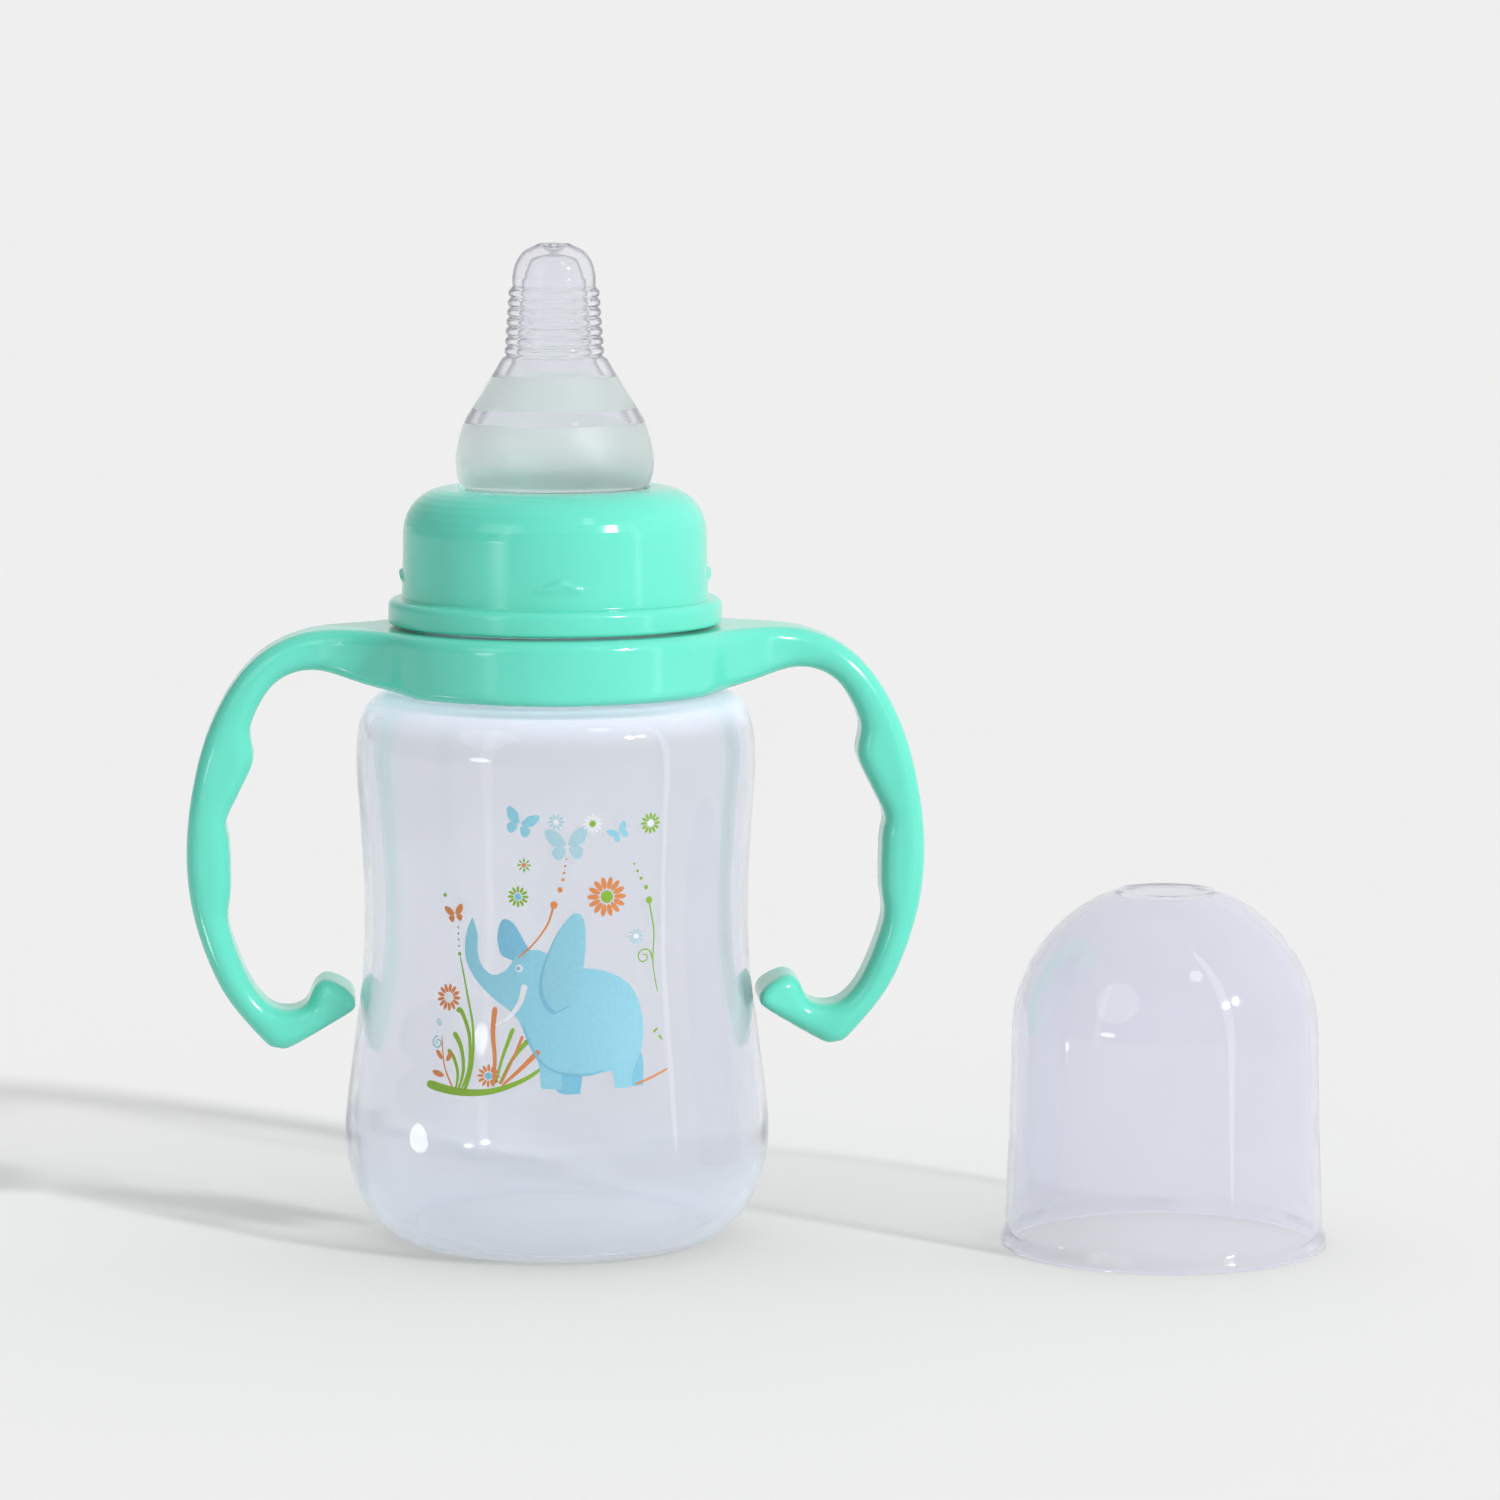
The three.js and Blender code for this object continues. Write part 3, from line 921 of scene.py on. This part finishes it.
def petals(across, height, size, count):
    """A ring of petals with this outer radius."""
    reach, length, width = 0.68 * size, 0.62 * size, 0.26 * size
    outlines = []
    for k in range(count):
        angle = 360 * k / count
        x = across + reach * math.cos(math.radians(angle))
        y = height + reach * math.sin(math.radians(angle))
        outlines.append(ellipse(x, y, length, width, angle, 14))
    return outlines


def butterfly(across, height, span, tilt):
    """Two wings on each side, next to a narrow gap for the body."""
    wing = [(0.0, 0.05), (0.16, 0.34), (0.42, 0.46), (0.5, 0.34), (0.36, 0.06), (0.1, -0.02)]
    tail = [(0.03, -0.04), (0.28, -0.02), (0.36, -0.14), (0.26, -0.32), (0.12, -0.3), (0.03, -0.12)]
    half_gap = 0.02
    outlines = []
    for side in (1, -1):
        for part in (wing, tail):
            outline = loop([(side * (x + half_gap) * span, y * span) for x, y in part], 4)
            outlines.append(put(outline, across, height, tilt))
    return outlines


def print_flowers():
    """Daisies: (across, height, radius, petal count, petal ink, centre ink)."""
    daisies = [
        (-1.0, 62.7, 1.15, 10, PALE_BLUE, WHITE),
        (3.9, 62.4, 1.4, 12, WHITE, GREEN),
        (12.2, 62.1, 1.5, 12, GREEN, WHITE),
        (-5.4, 56.7, 1.0, 8, GREEN, ORANGE),
        (-6.3, 52.3, 1.5, 12, GREEN, BLUE),
        (6.0, 52.2, 2.8, 14, ORANGE, GREEN),
        (10.3, 46.5, 1.15, 10, PALE_BLUE, WHITE),
        (-16.6, 37.9, 1.9, 13, ORANGE, WHITE),
        (-10.1, 27.6, 1.6, 12, ORANGE, BLUE),
    ]
    for number, (across, height, size, count, outer, inner) in enumerate(daisies, 1):
        centre = [dot(across, height, 0.62 * size)]
        printed(f"print_daisy_petals_{number:02d}", petals(across, height, size, count), outer)
        printed(f"print_daisy_centre_{number:02d}", centre, inner, 1)


def print_butterflies():
    """Butterflies: (across, height, span, tilt, ink)."""
    butterflies = [
        (-5.9, 62.3, 4.4, -18, LIGHT_BLUE),
        (0.5, 59.3, 5.6, 4, PALE_BLUE),
        (7.7, 60.9, 2.8, 30, LIGHT_BLUE),
        (-15.7, 49.4, 2.9, 12, ORANGE),
    ]
    for number, (*place, paint) in enumerate(butterflies, 1):
        printed(f"print_butterfly_{number:02d}", butterfly(*place), paint)


def print_plants():
    """The ground, fern fronds, stems, leaves and dotted trails."""
    green = [
        ribbon([(-19.2, 25.9), (-14.6, 25.2), (-9.8, 25.5), (-5.4, 27.2), (-2.6, 29.2)], 1.3, 0.35),
        ribbon([(-13.4, 25.3), (-12.5, 29), (-12.6, 34), (-13.7, 38.6), (-14.9, 43.6)], 0.5, 0.2),
        ribbon([(-13.9, 25.4), (-12.9, 28.6), (-13.1, 33), (-14.5, 36.2), (-15.1, 36)], 0.3, 0.7),
        ribbon([(-14.3, 25.4), (-13.7, 28.2), (-14.2, 31.2), (-15.4, 33.2)], 0.3, 0.75),
        ribbon([(-14.7, 25.4), (-14.5, 27.6), (-15.2, 29.7), (-16.2, 30.8)], 0.3, 0.6),
        ribbon([(-9.1, 26.6), (-8.2, 30.4), (-6.9, 34.2)], 0.25, 0.6),
        ribbon([(-8.6, 26.6), (-6.9, 30), (-4.9, 32.6)], 0.25, 0.7),
        ribbon([(12.3, 51.2), (13.1, 47), (12.9, 42.6), (13.5, 38.6)], 0.24, 0.14),
        ribbon(spiral(11.5, 43.6, 1.25, start=-20), 0.2, 0.16, 40),
        ellipse(-0.9, 46.6, 1.5, 0.6, 70),
        ellipse(12.8, 33.4, 0.9, 0.35, 40),
        ellipse(13.5, 32.4, 0.9, 0.35, 120),
        dot(-17.3, 52.0, 0.55),
        dot(-15.0, 44.0, 0.55),
        dot(12.3, 51.4, 1.0),
        dot(11.8, 53.2, 0.65),
    ]
    green += [dot(9.9 + 0.55 * k, 56.6 - 1.05 * k, 0.34 + 0.06 * k) for k in range(3)]
    green += [dot(-15.1 - 0.05 * k, 45.1 + 0.85 * k, 0.3) for k in range(4)]
    orange = [
        ribbon([(-9.4, 26.2), (-9.3, 30), (-9.7, 33.6), (-9.5, 37)], 0.4, 0.8),
        ribbon([(-8.2, 26.4), (-5.7, 28.8), (-3.4, 31.2)], 0.3, 0.8),
        ribbon([(-8.4, 26.5), (-6.6, 30.6), (-5.6, 33.2)], 0.22, 0.45),
        ribbon([(-1.4, 51.0), (-2.3, 48.4), (-4.2, 45.8), (-6.4, 43.8)], 0.34, 0.2),
        ribbon([(-15.2, 25.8), (-16.6, 28.6), (-17.3, 32.6)], 0.26, 0.14),
        ribbon([(9.4, 26.3), (11.6, 27.0), (14.2, 28.0)], 0.32, 0.26),
        ellipse(-17.5, 27.4, 1.9, 0.8, -14),
        ellipse(-15.9, 29.9, 1.6, 0.7, 62),
        ellipse(-17.5, 30.0, 1.5, 0.65, 130),
        dot(-1.35, 51.2, 1.05),
        dot(-0.5, 53.3, 0.75),
    ]
    orange += [dot(-0.1 + 0.15 * k, 54.7 + 0.95 * k, 0.45 - 0.06 * k) for k in range(4)]
    printed("print_plants_green", green, GREEN)
    printed("print_plants_orange", orange, ORANGE, 1)
    curls = [
        ribbon(spiral(-17.9, 31.6, 0.9, start=90), 0.26, 0.2, 40),
        ribbon(spiral(-18.0, 34.4, 0.5, start=-90), 0.2, 0.16, 40),
    ]
    printed("print_curls", curls, PALE_BLUE)


def print_elephant():
    """A plain elephant standing on the ground with its trunk up."""
    body = loop(
        [
            (-12.9, 49.2),
            (-14.0, 46.6),
            (-14.0, 43.4),
            (-12.4, 40.6),
            (-9.8, 38.2),
            (-6.8, 36.0),
            (-5.0, 33.0),
            (-3.5, 29.6),
            (-3.1, 26.5),
            (-2.9, 26.1),
            (-0.6, 26.0),
            (-0.3, 26.4),
            (-0.1, 28.2),
            (2.8, 27.7),
            (5.8, 28.3),
            (6.4, 27.8),
            (6.5, 26.3),
            (6.8, 26.0),
            (8.6, 26.0),
            (8.9, 26.4),
            (9.2, 28.2),
            (10.6, 31.4),
            (10.9, 35.4),
            (9.6, 39.4),
            (6.2, 41.8),
            (2.0, 42.6),
            (-1.2, 44.0),
            (-4.0, 45.0),
            (-6.4, 44.2),
            (-8.0, 42.2),
            (-9.8, 41.4),
            (-11.4, 42.4),
            (-12.2, 44.4),
            (-12.2, 47.0),
        ]
    )
    near_ear = [
        (-1.0, 36.6),
        (-2.6, 38.2),
        (-3.0, 41.0),
        (-2.0, 44.6),
        (-0.4, 48.0),
        (1.4, 50.0),
        (2.8, 49.0),
        (3.0, 45.4),
        (2.4, 41.2),
        (1.0, 37.6),
    ]
    shade = [(x - 0.35, z - 0.45) for x, z in near_ear]
    far_legs = [
        loop([(-0.9, 27.9), (-0.9, 25.6), (1.7, 25.3), (2.0, 25.7), (2.2, 28.4), (0.6, 29.6)]),
        loop([(8.6, 28.4), (8.4, 26.4), (10.3, 26.1), (10.5, 26.5), (10.6, 30.0), (9.4, 31.6)]),
    ]
    far_ear = loop(
        [
            (-8.6, 44.0),
            (-9.3, 46.6),
            (-8.6, 49.0),
            (-7.0, 48.6),
            (-5.4, 46.0),
            (-4.6, 44.4),
            (-6.4, 43.2),
        ]
    )
    printed("print_elephant_far_side", far_legs + [far_ear], BLUE)
    printed("print_elephant_body", [body], LIGHT_BLUE, 1)
    belly = ribbon([(-5.6, 34.6), (-3.9, 30.8), (-1.6, 28.6), (2.2, 27.9), (5.2, 28.4)], 0.35, 0.2)
    printed("print_elephant_shade", [loop(shade), belly], BLUE, 2)
    printed("print_elephant_ear", [loop(near_ear)], LIGHT_BLUE, 3)
    tusk = ribbon([(-5.4, 40.2), (-6.0, 37.8), (-7.6, 35.6), (-9.4, 34.6)], 0.95, 0.3)
    printed("print_elephant_white", [tusk, dot(-6.2, 42.4, 1.1)], WHITE, 2)
    printed("print_elephant_eye", [dot(-6.3, 42.4, 0.55)], BLUE, 3)


bottle_body()
handle_yoke()
screw_collar()
teat()
hood_cap()
print_flowers()
print_butterflies()
print_plants()
print_elephant()


# Floor, light and camera --------------------------------------------------------------------

BACKGROUND = linear(239, 239, 239)[0]
FLOOR_ALBEDO = 0.903
SKY_FRONT = 0.64
SKY_LEFT_SHARE = 0.42
SUN_AZIMUTH = 44.0  # degrees to the right of the front
SUN_ELEVATION = 25.5
SUN_STRENGTH = 1.95
SUN_SPREAD = 4.5
CAMERA_PLACE = (-0.0309, -0.8436, 0.1692)
CAMERA_TARGET = (0.0273, -0.001, 0.0692)
LENS = 145


def studio_floor():
    """A wide plain pale floor."""
    data = bpy.data.meshes.new("studio_floor")
    reach = 30.0
    corners = [(x * reach, y * reach, 0) for x, y in ((-1, -1), (1, -1), (1, 1), (-1, 1))]
    data.from_pydata(corners, [], [(0, 1, 2, 3)])
    floor = bpy.data.objects.new("studio_floor", data)
    bpy.context.scene.collection.objects.link(floor)
    paint = Paint("studio_floor")
    tone = paint.mixed(paint.noise(9, 2), (FLOOR_ALBEDO,) * 3, (FLOOR_ALBEDO * 0.995,) * 3)
    inputs = {"Base Color": tone, "Roughness": 0.7, "Specular IOR Level": 0.0}
    data.materials.append(paint.finish(paint.node("BsdfPrincipled", inputs)))


def studio_world():
    """Even light, brighter behind and above the object than in front of it, and darker to
    its left for all but the rays through clear plastic. The camera sees one plain tone."""
    world = bpy.data.worlds.new("studio")
    bpy.context.scene.world = world
    world.use_nodes = True
    tree = world.node_tree
    tree.nodes.clear()
    direction = tree.nodes.new("ShaderNodeTexCoord").outputs["Generated"]
    split = tree.nodes.new("ShaderNodeSeparateXYZ")
    tree.links.new(direction, split.inputs[0])
    path = tree.nodes.new("ShaderNodeLightPath").outputs

    def graded(axis, start, end, low, high):
        grade = tree.nodes.new("ShaderNodeMapRange")
        grade.interpolation_type = "SMOOTHSTEP"
        sizes = {"From Min": start, "From Max": end, "To Min": low, "To Max": high}
        for key, value in sizes.items():
            grade.inputs[key].default_value = value
        tree.links.new(split.outputs[axis], grade.inputs["Value"])
        return grade.outputs[0]

    def chosen(ray, first, second):
        choice = tree.nodes.new("ShaderNodeMix")
        tree.links.new(path[ray], choice.inputs[0])
        tree.links.new(first, choice.inputs[2])
        choice.inputs[3].default_value = second
        return choice.outputs[0]

    depth = graded("Y", -0.8, 0.1, SKY_FRONT, BACKGROUND)
    side = chosen("Is Transmission Ray", graded("X", -0.9, 0.0, SKY_LEFT_SHARE, 1), 1)
    both = tree.nodes.new("ShaderNodeMath")
    both.operation = "MULTIPLY"
    tree.links.new(depth, both.inputs[0])
    tree.links.new(side, both.inputs[1])
    light = tree.nodes.new("ShaderNodeBackground")
    light.inputs["Color"].default_value = (1, 1, 1, 1)
    tree.links.new(chosen("Is Camera Ray", both.outputs[0], BACKGROUND), light.inputs["Strength"])
    output = tree.nodes.new("ShaderNodeOutputWorld")
    tree.links.new(light.outputs[0], output.inputs["Surface"])


def aimed(item, place, target):
    """Puts a light or camera at `place`, pointing at `target`."""
    item.location = place
    item.rotation_euler = (Vector(target) - Vector(place)).to_track_quat("-Z", "Y").to_euler()


def lamp(name, kind, strength, place, target, **settings):
    """A light of one kind, with its settings."""
    data = bpy.data.lights.new(name, kind)
    data.energy = strength
    for key, value in settings.items():
        setattr(data, key, value)
    made = bpy.data.objects.new(name, data)
    bpy.context.scene.collection.objects.link(made)
    aimed(made, place, target)
    return made


def toward(azimuth, elevation):
    """The direction at an azimuth, in degrees to the right of the front, and an elevation."""
    a, e = math.radians(azimuth), math.radians(elevation)
    return Vector((math.sin(a) * math.cos(e), -math.cos(a) * math.cos(e), math.sin(e)))


def reflection_card(name, place, width, height, glow):
    """A bright upright oval panel, in metres, that only shows as a reflection in gloss."""
    card = lamp(
        name, "AREA", glow * width * height * math.pi, place, (0, 0, place[2]),
        shape="ELLIPSE", size=width, size_y=height,
    )
    card.visible_diffuse = False
    card.visible_transmission = False
    card.visible_camera = False


def studio_lights():
    """A key light from the front right, and bright panels for the highlights."""
    key = toward(SUN_AZIMUTH, SUN_ELEVATION)
    lamp("key_light", "SUN", SUN_STRENGTH, key, (0, 0, 0), angle=math.radians(SUN_SPREAD))
    reflection_card("window_left", toward(-46, 32) * 1.5, 0.9, 0.9, 0.9)
    reflection_card("window_right", toward(30, 50) * 1.5, 0.25, 0.35, 3)
    reflection_card("spark_left", toward(-46, 8) * 0.8, 0.18, 0.05, 6)
    reflection_card("spark_side", (-0.115, -0.035, 0.012), 0.024, 0.017, 6)
    reflection_card("strip_left", (-0.11, -0.135, 0.12), 0.024, 0.24, 0.7)
    reflection_card("strip_right", (0.139, -0.083, 0.12), 0.013, 0.24, 1.3)


def studio_camera():
    """A long lens a little above the table, looking slightly down."""
    data = bpy.data.cameras.new("camera")
    data.sensor_width = 36
    data.lens = LENS
    data.clip_start = 0.05
    camera = bpy.data.objects.new("camera", data)
    bpy.context.scene.collection.objects.link(camera)
    aimed(camera, CAMERA_PLACE, CAMERA_TARGET)
    bpy.context.scene.camera = camera


studio_floor()
studio_world()
studio_lights()
studio_camera()
bpy.context.scene.view_settings.view_transform = "Standard"
